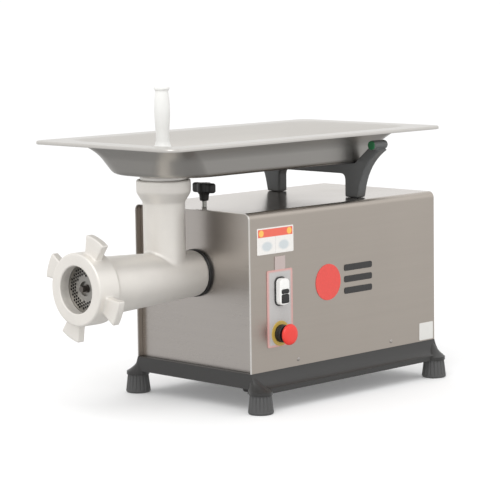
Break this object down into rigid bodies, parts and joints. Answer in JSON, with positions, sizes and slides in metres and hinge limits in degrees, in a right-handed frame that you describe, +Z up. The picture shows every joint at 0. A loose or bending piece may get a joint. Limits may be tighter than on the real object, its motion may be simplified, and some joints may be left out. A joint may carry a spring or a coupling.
{
  "type": "electric meat grinder",
  "caption": "Countertop electric meat grinder: steel casing on a flared skirt with rubber feet, geared motor, cast grinding head, feed tray on a yoke and a white pusher.",
  "frame": {"origin": "middle of the whole object's box, on the surface that its feet stand on", "axes": "+X towards the back, away from the grinding head; +Y away from the controls; +Z up"},
  "size_m": [0.661, 0.31, 0.488],
  "materials": {
    "casing_steel": "brushed stainless sheet, warm grey",
    "tray_steel": "brushed stainless sheet",
    "cast_aluminium": "bead-blasted and tinned casting, pale and matte",
    "skirt_paint": "dark grey satin paint",
    "foot_rubber": "fluted grey rubber",
    "dark_casting": "dark grey textured paint",
    "black_plastic": "moulded, satin",
    "white_plastic": "moulded food-safe plastic, satin",
    "red_plastic": "moulded, glossy",
    "yellow_plastic": "printed disc",
    "green_plastic": "moulded plug",
    "label_film": "printed film",
    "control_film": "printed film on a thin plate",
    "emblem_film": "cut vinyl",
    "zinc_steel": "bright zinc plate",
    "tool_steel": "ground steel",
    "gear_steel": "oiled machined steel",
    "bronze": "turned bronze",
    "motor_paint": "grey paint",
    "gearbox_cast": "sand-cast, plain",
    "winding": "varnished laminations and copper",
    "capacitor_can": "drawn can"
  },
  "bodies": {
    "root": {"base_skirt": "skirt_paint", "foot_front_near": "foot_rubber", "foot_front_far": "foot_rubber", "foot_back_near": "foot_rubber", "foot_back_far": "foot_rubber", "foot_screws": "zinc_steel", "casing_wrap": "casing_steel", "front_panel": "casing_steel", "rear_panel": "casing_steel", "casing_rivets": "zinc_steel", "panel_screws": "zinc_steel", "cable_gland": "black_plastic", "head_casting": "cast_aluminium", "head_collar": "black_plastic", "screw_bush": "bronze", "hole_plate": "tool_steel", "plate_pin": "zinc_steel", "gearbox_housing": "gearbox_cast", "gearbox_cover": "gearbox_cast", "gearbox_screws": "zinc_steel", "gearbox_bracket": "motor_paint", "bearing_carrier": "gearbox_cast", "output_bearings": "gear_steel", "layshaft_bearings": "gear_steel", "motor_bearings": "gear_steel", "motor_frame": "motor_paint", "motor_stator": "winding", "motor_end_shield": "motor_paint", "fan_cowl": "motor_paint", "run_capacitor": "capacitor_can", "capacitor_clip": "capacitor_can", "control_plate": "control_film", "instruction_label": "label_film", "rating_label": "label_film", "side_emblem": "emblem_film", "switch_bezel": "black_plastic", "switch_housing": "white_plastic", "estop_disc": "yellow_plastic", "estop_body": "black_plastic", "tray_yoke": "dark_casting", "yoke_caps": "green_plastic"},
    "screw_train": {"feed_screw": "cast_aluminium", "cutting_knife": "tool_steel", "output_shaft": "gear_steel", "output_gear": "gear_steel"},
    "layshaft_set": {"layshaft": "gear_steel", "layshaft_gear": "gear_steel", "layshaft_pinion": "gear_steel"},
    "motor_set": {"motor_shaft": "gear_steel", "motor_pinion": "gear_steel", "motor_rotor": "winding", "motor_fan": "black_plastic"},
    "ring_nut": {"ring_nut": "cast_aluminium"},
    "clamp_knob": {"clamp_knob": "black_plastic", "clamp_screw": "zinc_steel"},
    "start_button": {"start_button": "black_plastic"},
    "stop_button": {"stop_button": "black_plastic"},
    "estop_button": {"estop_button": "red_plastic"},
    "feed_tray": {"feed_tray": "tray_steel"},
    "meat_pusher": {"meat_pusher": "white_plastic"}
  },
  "joints": [
    {"name": "feed_screw_spin", "type": "hinge", "parent": "root", "child": "screw_train", "pos_m": [-0.3105, 0, 0.201], "axis": [1, 0, 0], "continuous": true},
    {"name": "layshaft_spin", "type": "hinge", "parent": "root", "child": "layshaft_set", "pos_m": [-0.039, 0.0396, 0.1614], "axis": [1, 0, 0], "continuous": true},
    {"name": "motor_spin", "type": "hinge", "parent": "root", "child": "motor_set", "pos_m": [0.051, 0, 0.201], "axis": [1, 0, 0], "continuous": true},
    {"name": "ring_nut_turn", "type": "hinge", "parent": "root", "child": "ring_nut", "pos_m": [-0.3305, 0, 0.201], "axis": [-1, 0, 0], "range_deg": [0, 1080]},
    {"name": "clamp_knob_turn", "type": "hinge", "parent": "root", "child": "clamp_knob", "pos_m": [-0.069, 0, 0.3], "axis": [0, 0, 1], "range_deg": [0, 1440]},
    {"name": "start_press", "type": "slide", "parent": "root", "child": "start_button", "axis": [0, 1, 0], "range_m": [0, 0.0025], "stiffness_N_per_m": 600, "springref_m": -0.003},
    {"name": "stop_press", "type": "slide", "parent": "root", "child": "stop_button", "axis": [0, 1, 0], "range_m": [0, 0.0025], "stiffness_N_per_m": 600, "springref_m": -0.003},
    {"name": "estop_press", "type": "slide", "parent": "root", "child": "estop_button", "axis": [0, 1, 0], "range_m": [0, 0.005], "stiffness_N_per_m": 1200, "springref_m": -0.004},
    {"name": "tray_lift", "type": "slide", "parent": "root", "child": "feed_tray", "axis": [0, 0, 1], "range_m": [0, 0.25]},
    {"name": "pusher_lift", "type": "slide", "parent": "feed_tray", "child": "meat_pusher", "axis": [0, 0, 1], "range_m": [0, 0.25]}
  ],
  "couplings": [
    {"joint": "layshaft_spin", "follows": "feed_screw_spin", "ratio": -3},
    {"joint": "motor_spin", "follows": "feed_screw_spin", "ratio": 9}
  ]
}
